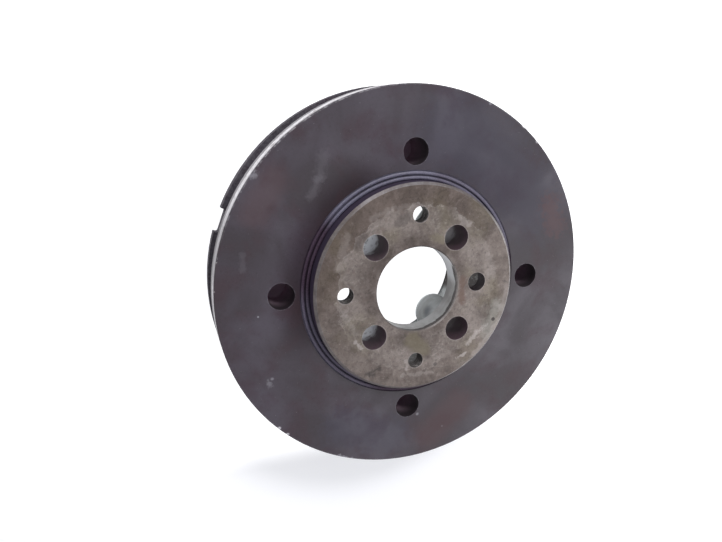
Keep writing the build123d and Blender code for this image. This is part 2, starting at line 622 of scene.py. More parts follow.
@dataclass(frozen=True)
class DarkCoating:
    """Dark satin coating of the inertia ring, worn to bare metal on its rim, with highlight, shadow
    and sheen painted on some sides.

    Lengths are millimetres. A fade gives the radii or heights where a mask is nothing and
    where it is full, an edge gives the same as distances from a wall or a level, and an arc
    is a sector round the axis. A strength is the most that a mask shows, and a least is
    what is left of it where it is weakest.
    """

    # Colours
    deep: Colour = (0.025, 0.018, 0.025)
    pale: Colour = (0.038, 0.029, 0.044)
    warm: Colour = (0.052, 0.022, 0.027)
    cold: Colour = (0.030, 0.027, 0.047)
    bare: Colour = (0.64, 0.62, 0.65)
    rust: Colour = (0.16, 0.11, 0.09)
    black: Colour = (0.014, 0.009, 0.012)
    hollow: Colour = (0.016, 0.010, 0.014)
    # Painted light: lighter lower walls and floors of the blind holes.
    hole_fill_light: Colour = (0.42, 0.30, 0.37)
    # Painted shade: the hub's shadow on the face beside the rubber.
    painted_shade: Colour = (0.60, 0.44, 0.48)
    chalk: Colour = (0.28, 0.27, 0.30)

    # The ring and its blind holes
    rim_radius: float = 82.5
    edge_chamfer: float = 0.5
    face: float = 36.5
    hole_count: int = 4
    hole_radius: float = 5.55
    hole_circle: float = 56.2
    hole_floor: float = 18.5
    hole_line: float = 0.35
    # Painted light: heights over which the holes' insides turn lighter downwards.
    hole_fill_light_fade: Span = (34.5, 18.5)

    # Where the coating is rubbed, where the hub's shadow and a lower sheen are painted on the face,
    # and the sides on which the worn rim is painted brighter
    land_low: float = 26.8
    rubbed_low: float = 30.2
    rubbed_high: float = 35.3
    rubbed_soft: float = 1.4
    belt_side_edge: Span = (-6.5, -6.0)
    # Painted shade: the hub's shadow beside the rubber, and a lower sheen at the top of the face.
    hub_shadow_fade: Span = (63.8, 49.8)
    low_sheen_fade: Span = (78.8, 48.8)
    hub_shadow_arc: Arc = Arc(155.0, 30.0, 34.0)
    low_sheen_arc: Arc = Arc(70.0, 24.0, 26.0)
    # Painted highlight: the sides on which the worn rim is drawn brightest.
    upper_lighting_arc: Arc = Arc(126.0, 10.0, 34.0)
    left_lighting_arc: Arc = Arc(186.0, 8.0, 10.0)

    # Grain
    fine: Grain = Grain(0.9, 3.0, 0.65, seed=2.2)
    clouds: Blotches = Blotches(Grain(34.0, 4.0, 0.5, warp=0.6, seed=1.3), 0.34, 0.66)
    patches: Blotches = Blotches(Grain(13.0, 3.0, 0.55, warp=0.4, seed=4.1), 0.46, 0.68)
    black_specks: Blotches = Blotches(fine, 0.46, 0.76, 0.0, 0.4)
    chalk_specks: Blotches = Blotches(Grain(0.7, 2.0, 0.5, seed=14.0), 0.69, 0.76, 0.0, 0.25)
    line_gaps: Blotches = Blotches(fine, 0.4, 0.6)
    side_dust: Blotches = Blotches(fine, 0.3, 0.7, 0.05, 0.3)
    ragged: Blotches = Blotches(Grain(2.4, 4.0, 0.6, seed=7.7), 0.44, 0.6)
    chips: Blotches = Blotches(Grain(3.4, 4.0, 0.6, seed=3.7), 0.6, 0.66, 0.0, 0.6)
    speckle: Blotches = Blotches(Grain(1.4, 4.0, 0.7, seed=15.0), 0.36, 0.58, 0.6, 1.0)
    stain: Blotches = Blotches(Grain(5.0, 4.0, 0.6, seed=9.4), 0.54, 0.72, 0.0, 0.6)
    scores: Blotches = Blotches(
        Grain(1.0, 3.0, 0.6, stretch=(0.05, 0.05, 1.6), seed=5.5), 0.42, 0.6, 0.0, 0.4)
    tool_marks: ToolMarks = ToolMarks(0.55, 1.8, 3.0, 0.0010)
    fine_depth: float = 0.016

    # How strongly each shows, and how rough and glossy it is
    warm_strength: float = 0.28
    # Painted shade: how dark the hub's shadow is drawn.
    hub_shadow_strength: float = 0.8
    line_strength: float = 0.3
    rubbed_least: float = 0.22
    # Painted highlight: how much of the worn rim shows away from its lit sides.
    rim_unlit_least: float = 0.38
    left_lighting_strength: float = 0.6
    thin_strength: float = 0.28
    stain_full: float = 0.6
    coating_roughness: Span = (0.5, 0.44)
    bare_roughness: Span = (0.3, 0.6)
    dusty_roughness: float = 0.9
    bare_metal: Span = (1.0, 0.4)
    coating_gloss: Span = (0.40, 0.52)
    patch_gloss: float = 0.34
    # Sheen in the hub's painted shadow and at the top of the face, as painted shade.
    hub_shadow_gloss: float = 0.16
    hub_shadow_gloss_strength: float = 0.9
    low_sheen_strength: float = 0.5

    def marks(self) -> list[Mark]:
        """List the chips, specks and streaks of the ring's face.

        Returns:
            The marks, in the order in which they are laid.
        """
        return [
            Mark((-38.6, 55.0), (-40.6, 46.4), 0.2, 3.6, self.chalk, 0.08, 1.2),
            Mark((-40.6, 46.4), (-43.6, 39.4), 0.2, 2.8, self.chalk, 0.12, 1.0),
            Mark((-66.5, 48.2), (-64.9, 48.6), 0.1, 1.6, self.chalk, 0.5, 1.0),
            Mark((-65.7, -7.5), None, 0.1, 0.5, self.chalk, 0.9),
            Mark((-60.8, -34.8), None, 0.2, 0.8, self.chalk, 0.45),
            Mark((-62.5, -35.0), (-61.3, -37.9), 0.2, 1.1, self.chalk, 0.3),
            Mark((-70.7, 18.0), (-71.2, 12.0), 0.2, 1.8, self.chalk, 0.07),
            Mark((-58.3, -57.6), None, 0.3, 0.8, self.bare, 0.8),
            Mark((-54.9, -61.2), None, 0.3, 0.8, self.bare, 0.9),
            Mark((56.6, 59.6), None, 0.2, 0.8, self.bare, 0.6),
            Mark((32.6, 75.2), None, 0.2, 0.9, self.chalk, 0.7),
            Mark((-32.4, -75.6), (-26.6, -78.0), 0.1, 0.7, self.chalk, 0.5),
            Mark((5.0, -61.2), None, 0.1, 0.9, self.chalk, 0.6),
            Mark((17.9, -69.5), None, 0.1, 0.6, self.chalk, 0.5),
            Mark((25.0, -60.0), (12.0, -72.0), 3.0, 9.0, self.warm, 0.55),
            Mark((-66.0, 34.0), (-58.0, 46.0), 2.0, 7.0, self.warm, 0.45),
            Mark((-8.0, -70.0), (-30.0, -62.0), 4.0, 10.0, self.cold, 0.5, 3.0),
            Mark((18.0, 64.0), (58.0, 34.0), 6.0, 20.0, self.cold, 0.55, 4.0),
            Mark((66.0, 32.0), (70.0, 22.0), 1.0, 7.0, self.warm, 0.75, 3.0),
        ]

    def hub_shadow_patch(self, box: Paintbox) -> Value:
        """Mask the hub's painted shadow on the face, beside the rubber."""
        return box.product(box.fade(box.radius, *self.hub_shadow_fade), box.sector(self.hub_shadow_arc))

    def face_colour(self, box: Paintbox) -> Socket:
        """Colour the faces: clouds, specks, marks of use and the hub's painted shadow.

        Args:
            box: Where the material is made.

        Returns:
            The colour, before holes and worn rim.
        """
        patches = box.blotches(self.patches)
        colour = box.lay(self.deep, self.pale, box.blotches(self.clouds))
        colour = box.lay(colour, self.warm, box.product(patches, self.warm_strength))
        colour = box.lay(colour, self.black, box.blotches(self.black_specks))
        colour = box.lay(colour, self.chalk, box.blotches(self.chalk_specks))
        for mark in self.marks():
            colour = mark.lay_on(box, colour, self.face)
        # Painted shade: the hub's shadow darkens the face beside the rubber.
        painted_shade = box.product(self.hub_shadow_patch(box), self.hub_shadow_strength)
        return box.lay(colour, self.painted_shade, painted_shade, Blend.DARKEN)

    def worn_rim(self, box: Paintbox) -> Value:
        """Mask the rubbed land and the chipped edge of the rim, with a painted highlight that makes
        them brightest on the sides that face the light.

        Args:
            box: Where the material is made.

        Returns:
            1 where the coating is worn through, most on the painted lit sides.
        """
        # Painted highlight: the rim's wear is drawn strongest on the upper left and the left.
        upper = box.sector(self.upper_lighting_arc)
        left = box.product(box.sector(self.left_lighting_arc), self.left_lighting_strength)
        middle = box.band(box.z, self.rubbed_low, self.rubbed_high, self.rubbed_soft)
        land = box.product(box.edge(box.radius, self.rim_radius, OUTER_SKIN_EDGE),
                           box.edge(box.z, self.land_low, ABOVE_LEVEL_EDGE),
                           box.most(middle, self.rubbed_least),
                           box.blotches(self.speckle),
                           box.most(box.blend(self.rim_unlit_least, 1.0, upper), left))
        corner = self.rim_radius + self.face - self.edge_chamfer
        edge = box.edge(box.sum(Sum.ADD, box.radius, box.z), corner, OUTER_SKIN_EDGE)
        thin = box.product(box.blotches(self.ragged), self.thin_strength)
        return box.most(land, box.product(edge, box.blend(box.blotches(self.chips), thin, upper)))

    def material(self) -> bpy.types.Material:
        """Build the coating's material.

        Returns:
            The finished material.
        """
        box = Paintbox("dark_coating")
        turns = [index * 360.0 / self.hole_count for index in range(self.hole_count)]
        holes = [on_circle(self.hole_circle, turn, 0.0) for turn in turns]
        inside = box.bores(holes, self.hole_radius, self.face, self.hole_floor)
        lines = box.product(box.rims(holes, self.hole_radius, self.hole_line, self.face),
                            box.blotches(self.line_gaps), self.line_strength)
        belt_side = box.product(box.edge(box.radius, self.rim_radius, self.belt_side_edge),
                                box.edge(box.z, self.land_low, UNDER_LEVEL_EDGE))
        worn = self.worn_rim(box)
        stain = box.blotches(self.stain)
        clouds = box.blotches(self.clouds)

        colour = box.lay(self.face_colour(box), self.chalk, lines)
        # Painted light: the blind holes are drawn lighter towards their floors.
        hollow = box.lay(self.hollow, self.hole_fill_light, box.fade(box.z, *self.hole_fill_light_fade))
        colour = box.lay(colour, hollow, inside)
        dust_and_highlight = box.product(belt_side, box.blotches(self.side_dust))
        colour = box.lay(colour, self.chalk, dust_and_highlight)
        metal_colour = box.lay(self.bare, self.rust, stain)
        metal_colour = box.lay(metal_colour, self.rust, box.blotches(self.scores))
        colour = box.lay(colour, metal_colour, worn)

        rough = box.blend(box.fade(clouds, 0.0, 1.0, *self.coating_roughness),
                          box.fade(stain, 0.0, self.stain_full, *self.bare_roughness), worn)
        rough = box.blend(rough, self.dusty_roughness, box.most(inside, belt_side))
        metal = box.product(worn, box.fade(stain, 0.0, self.stain_full, *self.bare_metal))
        normal = box.relief(box.rings(self.tool_marks), self.tool_marks.depth)
        normal = box.relief(box.grain(self.fine), self.fine_depth, normal)
        # Painted shade: less sheen in the hub's shadow and towards the top of the face.
        painted_shade = box.product(self.hub_shadow_patch(box), self.hub_shadow_gloss_strength)
        dull = box.product(box.fade(box.radius, *self.low_sheen_fade), box.sector(self.low_sheen_arc),
                           self.low_sheen_strength)
        gloss = box.fade(clouds, 0.0, 1.0, *self.coating_gloss)
        gloss = box.blend(gloss, self.patch_gloss, box.blotches(self.patches))
        gloss = box.blend(gloss, self.hub_shadow_gloss, box.most(painted_shade, dull))
        return box.finish(colour, rough, metal, normal, gloss)


@dataclass(frozen=True)
class TurnedSteel:
    """Bare turned steel of the hub, dulled and stained by old lubricant and light rust, with
    highlight and shade painted on its edges, holes and bore.

    Lengths are millimetres. Fades, edges, arcs, strengths and leasts are given in the way
    that the dark coating gives them.
    """

    # Colours
    steel: Colour = (0.150, 0.126, 0.116)
    dull: Colour = (0.072, 0.056, 0.050)
    olive: Colour = (0.118, 0.100, 0.068)
    rust: Colour = (0.082, 0.050, 0.040)
    pale: Colour = (0.32, 0.29, 0.28)
    green: Colour = (0.25, 0.255, 0.235)
    dark: Colour = (0.035, 0.028, 0.027)
    # Painted shade on the hub's side.
    shade: Colour = (0.045, 0.034, 0.056)
    # Stain beyond the witness ring, with painted shade towards the upper left.
    outer_stain_and_shade_tint: Colour = (0.62, 0.56, 0.53)
    # Darker blotches near the bore, strongest towards the upper left.
    bore_tint: Colour = (0.50, 0.45, 0.44)
    # Chamfers: bare machined edge with a painted highlight, and a painted glint on the right.
    polished_and_highlight: Colour = (0.30, 0.29, 0.31)
    gleam: Colour = (0.50, 0.48, 0.48)
    wall: Colour = (0.26, 0.26, 0.26)
    # Painted light: the lit side of the bore and the deep walls of the bolt holes.
    lit_wall: Colour = (0.62, 0.63, 0.66)
    # Painted shade at the mouths of the bolt holes.
    mouth: Colour = (0.066, 0.037, 0.050)
    pin_wall: Colour = (0.022, 0.017, 0.020)
    cast: Colour = (0.28, 0.295, 0.30)
    # Painted highlight on the boss ends.
    boss_seat_highlight: Colour = (0.62, 0.66, 0.68)
    # A soft dark spot on one boss.
    boss_spot_colour: Colour = (0.055, 0.062, 0.075)

    # The hub and its holes
    face: float = 43.3
    radius: float = 44.7
    chamfer: float = 1.1
    cavity: float = 35.4
    bore: float = 18.2
    bore_chamfer: float = 0.5
    bolt_circle: float = 26.9
    bolt_radius: float = 5.4
    bolt_turns: Tuple[float, ...] = (51.9, 135.0, 225.0, 315.0)
    puller_circle: float = 31.6
    puller_radius: float = 3.4
    puller_turns: Tuple[float, ...] = (90.0, 180.0, 270.0)
    puller_pitch: float = 1.25
    locating_circle: float = 27.4
    locating_radius: float = 4.1
    locating_turn: float = 2.6
    bolt_line: float = 0.45
    puller_line: float = 0.4
    locating_line: float = 0.35

    # Where the stains, the cast wall, the chamfers and the painted light and shade begin and end
    witness: float = 35.9
    witness_edge: Span = (-0.4, 0.4)
    print_offset: Span = (-0.5, -0.1)
    print_soft: float = 0.3
    tide_levels: Span = (0.494, 0.518)
    tide_soft: float = 0.024
    bore_blotch_fade: Span = (27.0, 20.0)
    # Painted sheen: radii over which the outer face turns paler on the lower right.
    lit_side_fade: Span = (40.5, 42.0)
    corner_edge: Span = (-0.1, -0.02)
    lead_edge: Span = (0.08, 0.02)
    lead_foot_edge: Span = (-0.05, 0.0)
    cast_edge: Span = (0.6, 0.3)
    web_fade: Span = (38.0, 37.0)
    dirt_fade: Span = (33.0, 34.5)
    # Painted highlight: where the boss ends are drawn near white.
    seat_height_fade: Span = (18.9, 18.3)
    seat_radius_fade: Span = (34.5, 33.5)
    bore_edge: Span = (0.06, 0.02)
    bore_top_edge: Span = (0.02, -0.06)
    bore_line_edge: Span = (-2.6, -2.3)
    # Painted light: heights over which the bolt holes turn lighter downwards.
    hole_light_fade: Span = (33.6, 28.0)
    hole_zone: Span = (6.0, 6.6)
    side_skin_edge: Span = (-0.05, -0.01)
    side_top_edge: Span = (-0.05, -0.1)
    side_fade: Span = (20.0, 21.0)
    thread_edge: Span = (0.3, 0.1)
    thread_depth: float = 0.25
    # Middle and size of a soft dark spot on one boss.
    boss_spot: Point = (11.8, -15.4, 28.1)
    boss_spot_fade: Span = (0.4, 5.0)

    # Which way round the axis they lie; several are the sides where light and shade are painted
    upper_lighting_arc: Arc = Arc(120.0, 45.0, 40.0)
    bore_darker_arc: Arc = Arc(110.0, 75.0, 35.0)
    gleam_arc: Arc = Arc(345.0, 45.0, 25.0)
    top_lighting_arc: Arc = Arc(100.0, 18.0, 20.0)
    lit_side_arc: Arc = Arc(330.0, 18.0, 18.0)
    dirt_arc: Arc = Arc(356.0, 14.0, 6.0)
    low_dirt_arc: Arc = Arc(275.0, 10.0, 6.0)
    lit_bore_arc: Arc = Arc(30.0, 10.0, 22.0)
    shaded_bore_arc: Arc = Arc(348.0, 8.0, 16.0)
    bore_line_arc: Arc = Arc(305.0, 80.0, 9.0)

    # Grain
    fine: Grain = Grain(0.5, 3.0, 0.65, seed=3.9)
    specks: Grain = Grain(1.5, 5.0, 0.75, seed=27.0)
    tides: Grain = Grain(12.0, 3.0, 0.55, warp=0.8, seed=21.0)
    clouds: Blotches = Blotches(Grain(9.0, 5.0, 0.6, warp=0.6, seed=5.2), 0.36, 0.64)
    flecks: Blotches = Blotches(Grain(2.2, 4.0, 0.65, seed=8.6), 0.5, 0.7)
    olive_cast: Blotches = Blotches(
        Grain(17.0, 3.0, 0.5, warp=0.4, seed=12.0), 0.5, 0.68, 0.0, 0.5)
    pits: Blotches = Blotches(Grain(1.1, 3.0, 0.6, seed=17.0), 0.66, 0.74, 0.0, 0.5)
    dark_specks: Blotches = Blotches(specks, 0.5, 0.36, 0.0, 0.42)
    pale_specks: Blotches = Blotches(specks, 0.54, 0.70, 0.0, 0.34)
    stain_places: Blotches = Blotches(Grain(15.0, 2.0, 0.5, seed=23.0), 0.44, 0.6)
    waver: Blotches = Blotches(Grain(7.0, 4.0, 0.6, seed=31.0), 0.3, 0.7, -1.6, 1.6)
    bore_blotches: Blotches = Blotches(Grain(8.0, 4.0, 0.6, seed=37.0), 0.25, 0.55)
    print_gaps: Blotches = Blotches(fine, 0.4, 0.6)
    rim_gaps: Blotches = Blotches(fine, 0.35, 0.6, 0.1, 0.6)
    line_gaps: Blotches = Blotches(fine, 0.3, 0.5, 0.85, 1.0)
    nicks: Blotches = Blotches(Grain(2.0, 4.0, 0.6, seed=33.0), 0.34, 0.6, 1.0, 0.55)
    dirt: Blotches = Blotches(Grain(1.6, 4.0, 0.65, seed=41.0), 0.5, 0.6, 1.0, 0.72)
    line_waver: Blotches = Blotches(Grain(5.0, 3.0, 0.6, seed=47.0), 0.3, 0.7, -0.6, 0.5)
    hole_waver: Blotches = Blotches(Grain(3.0, 4.0, 0.6, seed=43.0), 0.3, 0.7, -1.5, 1.5)
    tool_marks: ToolMarks = ToolMarks(0.4, 1.5, 6.0, 0.0012)
    fine_depth: float = 0.02
    cloud_depth: float = 0.03

    # How strongly each shows, and how rough, metallic and glossy it is
    dull_strength: float = 0.62
    rust_strength: float = 0.5
    tide_strength: float = 0.16
    print_strength: float = 0.3
    # Painted shade: how much of the outer stain shows away from the upper left.
    outer_shade_least: float = 0.42
    bore_darkening_least: float = 0.45
    # Painted highlight: how brightly the chamfers show, least away from their lit sides.
    highlight_least: float = 0.28
    top_highlight: float = 0.5
    lead_share: float = 0.3
    # Painted sheen: how much paler the outer face is drawn on the lower right.
    lit_side_strength: float = 0.3
    cast_dull_strength: float = 0.3
    low_dirt_strength: float = 0.8
    # How dark the spot on the boss is.
    boss_spot_strength: float = 0.75
    # Painted highlight: how strongly the boss ends are drawn near white.
    seat_highlight_strength: float = 0.6
    wall_dull_strength: float = 0.3
    # Painted light and shade on the bore's wall.
    lit_bore_strength: float = 0.5
    shaded_bore_strength: float = 0.35
    # Painted light: how much of it two of the bolt holes get.
    first_hole_light: float = 0.4
    last_hole_light: float = 0.12
    hole_fleck_strength: float = 0.7
    puller_fleck_strength: float = 0.6
    pin_fleck_strength: float = 0.3
    face_roughness: Span = (0.44, 0.6)
    bright_roughness: float = 0.4
    unturned_roughness: float = 0.7
    face_metal: Span = (0.5, 0.15)
    bright_metal: float = 0.7
    unturned_metal: float = 0.1
    gloss: Span = (0.5, 0.14)

    def marks(self) -> list[Mark]:
        """List the pits, stains and scratches of the hub's face.

        Returns:
            The marks, in the order in which they are laid.
        """
        return [
            Mark((-20.4, -34.7), (-16.4, -33.0), 0.3, 1.3, self.dark, 0.75, 0.9),
            Mark((-22.0, -35.0), (-19.0, -36.0), 0.3, 1.0, self.dark, 0.7, 0.6),
            Mark((9.4, -34.6), None, 0.5, 0.7, self.dark, 0.7),
            Mark((38.0, -11.0), (34.0, -22.0), 0.6, 4.6, self.green, 0.34, 1.6),
            Mark((32.1, 12.7), (34.6, 2.6), 0.2, 2.4, self.pale, 0.14, 1.2),
            Mark((24.8, -26.4), (33.0, -19.6), 0.1, 1.6, self.pale, 0.5, 1.2),
            Mark((-34.0, 1.0), (-32.0, -8.0), 0.1, 1.8, self.pale, 0.16, 1.1),
            Mark((-32.0, -8.0), (-26.6, -17.0), 0.1, 1.8, self.pale, 0.2, 1.3),
            Mark((-27.0, -20.4), (-24.2, -24.0), 0.1, 1.2, self.pale, 0.6, 0.8),
            Mark((20.0, -33.0), (24.0, -31.0), 0.1, 0.9, self.pale, 0.6, 0.9),
            Mark((-6.0, -37.5), (8.0, -38.0), 0.1, 1.4, self.pale, 0.25, 1.2),
            Mark((-31.0, 24.0), (-34.4, 12.0), 0.2, 2.6, self.pale, 0.16, 1.4),
            Mark((-12.6, 34.4), (-21.0, 31.0), 0.1, 1.8, self.pale, 0.16),
            Mark((-12.6, 34.4), (4.0, 35.8), 0.1, 1.6, self.pale, 0.14),
            Mark((-9.0, 29.0), (-6.0, 30.4), 1.0, 2.2, self.dark, 0.45),
            Mark((-24.0, 24.4), (-26.5, 20.0), 0.6, 1.8, self.dark, 0.3),
            Mark((17.0, 29.6), (22.0, 26.4), 0.5, 1.6, self.pale, 0.3),
            Mark((20.8, 2.6), (20.6, -6.6), 0.6, 1.8, self.rust, 0.8),
            Mark((-2.0, -22.0), (3.0, -27.0), 1.6, 3.4, self.olive, 0.7),
            Mark((6.0, 22.0), (10.6, 20.6), 0.6, 2.0, self.olive, 0.6),
            Mark((40.9, 0.4), (44.0, 0.2), 0.1, 0.5, self.dark, 0.6),
            Mark((-4.0, -37.4), (-4.4, -30.8), 0.1, 0.7, self.pale, 0.3),
            Mark((36.8, -16.7), None, 0.7, 0.4, self.dark, 1.0),
        ]

    def bolts(self) -> list[Point]:
        """List where the bolt holes are."""
        return [on_circle(self.bolt_circle, turn, 0.0) for turn in self.bolt_turns]

    def pullers(self) -> list[Point]:
        """List where the puller holes are."""
        return [on_circle(self.puller_circle, turn, 0.0) for turn in self.puller_turns]

    def locating(self) -> list[Point]:
        """List where the locating hole is, as one place."""
        return [on_circle(self.locating_circle, self.locating_turn, 0.0)]

    def wavering_radius(self, box: Paintbox) -> Socket:
        """Give the radius with some waver, for stains that follow a ring."""
        return box.sum(Sum.ADD, box.radius, box.blotches(self.waver))

    def stained_face(self, box: Paintbox) -> Socket:
        """Colour the hub's face with its stains, prints and marks of use.

        Args:
            box: Where the material is made.

        Returns:
            The colour, before the edges and the holes.
        """
        places = box.blotches(self.stain_places)
        dull = box.product(box.blotches(self.clouds), self.dull_strength)
        rusty = box.product(box.blotches(self.flecks), self.rust_strength)
        colour = box.lay(self.steel, self.dull, dull)
        colour = box.lay(colour, self.olive, box.blotches(self.olive_cast))
        colour = box.lay(colour, self.rust, rusty)
        colour = box.lay(colour, self.dark, box.blotches(self.pits))
        colour = box.lay(colour, self.dark, box.blotches(self.dark_specks))
        colour = box.lay(colour, self.pale, box.blotches(self.pale_specks))
        tide = box.band(box.grain(self.tides), *self.tide_levels, self.tide_soft)
        colour = box.lay(colour, self.pale, box.product(tide, places, self.tide_strength))

        wander = self.wavering_radius(box)
        # Stain beyond the witness ring, darkened further towards the upper left as painted shade.
        outer = box.product(box.edge(wander, self.witness, self.witness_edge),
                            box.blend(self.outer_shade_least, 1.0, box.sector(self.upper_lighting_arc)))
        colour = box.lay(colour, self.outer_stain_and_shade_tint, outer, Blend.DARKEN)
        low, high = self.print_offset
        print_line = box.band(wander, self.witness + low, self.witness + high, self.print_soft)
        print_line = box.product(print_line, box.blotches(self.print_gaps), places)
        colour = box.lay(colour, self.pale, box.product(print_line, self.print_strength))
        # Darker blotches near the bore, strongest towards the upper left.
        near_bore = box.product(box.fade(box.radius, *self.bore_blotch_fade),
                                box.blotches(self.bore_blotches),
                                box.blend(self.bore_darkening_least, 1.0, box.sector(self.bore_darker_arc)))
        colour = box.lay(colour, self.bore_tint, near_bore, Blend.DARKEN)
        for mark in self.marks():
            colour = mark.lay_on(box, colour, self.face)
        mouths = box.most(
            box.rims(self.bolts(), self.bolt_radius, self.bolt_line, self.face),
            box.rims(self.pullers(), self.puller_radius, self.puller_line, self.face),
            box.rims(self.locating(), self.locating_radius, self.locating_line, self.face))
        return box.lay(colour, self.pale, box.product(mouths, box.blotches(self.rim_gaps)))

    def lit_chamfers(self, box: Paintbox) -> Value:
        """Mask the two chamfers, with a painted highlight on the sides that face the light.

        Args:
            box: Where the material is made.

        Returns:
            1 on the brightest stretch and less elsewhere on the chamfers.
        """
        corner = box.edge(box.sum(Sum.ADD, box.radius, box.z),
                          self.radius + self.face - self.chamfer, self.corner_edge)
        lead = box.product(
            box.edge(box.sum(Sum.SUBTRACT, box.radius, box.z),
                     self.bore + self.bore_chamfer - self.face, self.lead_edge),
            box.edge(box.z, self.face - self.bore_chamfer, self.lead_foot_edge))
        # Painted highlight: the chamfers are drawn brighter at the top and on the right.
        top = box.product(box.sector(self.top_lighting_arc), self.top_highlight)
        highlight = box.most(self.highlight_least, top, box.sector(self.gleam_arc))
        return box.product(box.most(corner, lead), box.blotches(self.nicks), highlight,
                           box.blend(1.0, self.lead_share, lead))

    def cast_colour(self, box: Paintbox) -> Socket:
        """Colour the cast inside of the hub: dirt, a dark spot on one boss and a painted highlight
        on the boss ends.

        Args:
            box: Where the material is made.

        Returns:
            The colour of the cavity.
        """
        low_dirt = box.product(box.sector(self.low_dirt_arc), self.low_dirt_strength)
        dirty = box.product(box.most(box.sector(self.dirt_arc), low_dirt),
                            box.fade(box.radius, *self.dirt_fade), box.blotches(self.dirt))
        dull = box.product(box.blotches(self.clouds), self.cast_dull_strength)
        colour = box.lay(self.cast, self.dull, dull)
        colour = box.lay(colour, self.dark, dirty)
        # A soft dark spot on one boss, darkest at its middle.
        from_spot = box.arrow(Arrow.APART, box.place, self.boss_spot)
        stain = box.fade(from_spot, *self.boss_spot_fade, 1.0, 0.0)
        colour = box.lay(colour, self.boss_spot_colour, box.product(stain, self.boss_spot_strength))
        # Painted highlight: the boss ends are drawn near white.
        seat_highlight = box.product(box.fade(box.z, *self.seat_height_fade),
                            box.fade(box.radius, *self.seat_radius_fade), self.seat_highlight_strength)
        return box.lay(colour, self.boss_seat_highlight, seat_highlight)

    def lay_bore(self, box: Paintbox, under: Socket) -> Socket:
        """Lay the bore's wall, with painted light on one side and painted shade on another, and the
        dark line round its mouth over a colour.

        Args:
            box: Where the material is made.
            under: The colour below.

        Returns:
            The colour with the bore.
        """
        chamfer_foot = self.face - self.bore_chamfer
        inside = box.product(box.edge(box.radius, self.bore, self.bore_edge),
                             box.edge(box.z, chamfer_foot, self.bore_top_edge))
        clouds = box.product(box.blotches(self.clouds), self.wall_dull_strength)
        # Painted light and shade: the bore's wall is drawn lighter on one side and darker on
        # another.
        lit = box.product(box.sector(self.lit_bore_arc), self.lit_bore_strength)
        dull = box.product(box.sector(self.shaded_bore_arc), self.shaded_bore_strength)
        wall = box.lay(self.wall, self.dull, clouds)
        wall = box.lay(box.lay(wall, self.lit_wall, lit), self.dull, dull)
        height = box.sum(Sum.ADD, box.z, box.blotches(self.line_waver))
        line = box.product(inside, box.edge(height, self.face, self.bore_line_edge),
                           box.sector(self.bore_line_arc), box.blotches(self.line_gaps))
        return box.lay(box.lay(under, wall, inside), self.dark, line)

    def bolt_wall_shading(self, box: Paintbox) -> Socket:
        """Colour the bolt holes with painted shade at the mouth and painted light below it, weaker
        in two of the holes.

        Args:
            box: Where the material is made.

        Returns:
            The colour of the bolt holes' walls.
        """
        first, last = self.bolts()[0], self.bolts()[-1]
        height = box.sum(Sum.ADD, box.z, box.blotches(self.hole_waver))
        # Painted light on the deep walls, painted shade at the mouths.
        deep = box.product(box.fade(height, *self.hole_light_fade),
                           box.fade(box.from_axis(last), *self.hole_zone, self.last_hole_light),
                           box.fade(box.from_axis(first), *self.hole_zone, self.first_hole_light))
        flecks = box.product(box.blotches(self.flecks), self.hole_fleck_strength)
        return box.lay(box.lay(self.mouth, self.lit_wall, deep), self.dull, flecks)

    def threads(self, box: Paintbox, inside: Value) -> Value:
        """Raise the threads of the puller holes.

        Args:
            box: Where the material is made.
            inside: Mask of the puller holes.

        Returns:
            The threads' ridges.
        """
        ridges = [
            box.product(box.edge(box.from_axis(centre), self.puller_radius, self.thread_edge),
                        box.thread(centre, self.puller_pitch))
            for centre in self.pullers()
        ]
        return box.product(box.most(*ridges), inside)

    def material(self) -> bpy.types.Material:
        """Build the steel's material.

        Returns:
            The finished material.
        """
        box = Paintbox("turned_steel")
        clouds = box.blotches(self.clouds)
        flecks = box.blotches(self.flecks)
        chamfer_highlight = self.lit_chamfers(box)
        rough_cast = box.product(box.edge(box.radius, self.cavity, self.cast_edge),
                                 box.fade(box.z, *self.web_fade))
        holes = box.bores(self.bolts(), self.bolt_radius, self.face)
        small = box.bores(self.pullers(), self.puller_radius, self.face)
        pin_hole = box.bores(self.locating(), self.locating_radius, self.face)
        side = box.product(box.edge(box.radius, self.radius, self.side_skin_edge),
                           box.edge(box.z, self.face - self.chamfer, self.side_top_edge),
                           box.fade(box.z, *self.side_fade))

        # Painted highlight on the chamfers, with a painted glint on the right.
        chamfer_colour = box.lay(self.polished_and_highlight, self.gleam, box.sector(self.gleam_arc))
        colour = box.lay(self.stained_face(box), chamfer_colour, chamfer_highlight)
        # Painted sheen: the outer face is drawn paler on the lower right.
        painted_lit_side = box.product(box.sector(self.lit_side_arc), self.lit_side_strength,
                            box.fade(self.wavering_radius(box), *self.lit_side_fade))
        colour = box.lay(colour, self.pale, painted_lit_side)
        colour = box.lay(colour, self.cast_colour(box), rough_cast)
        colour = self.lay_bore(box, colour)
        colour = box.lay(colour, self.bolt_wall_shading(box), holes)
        bits = box.product(flecks, self.puller_fleck_strength)
        colour = box.lay(colour, box.lay(self.dark, self.pale, bits), small)
        bits = box.product(flecks, self.pin_fleck_strength)
        colour = box.lay(colour, box.lay(self.pin_wall, self.dull, bits), pin_hole)
        # Painted shade: the hub's side is drawn dark.
        colour = box.lay(colour, self.shade, side)

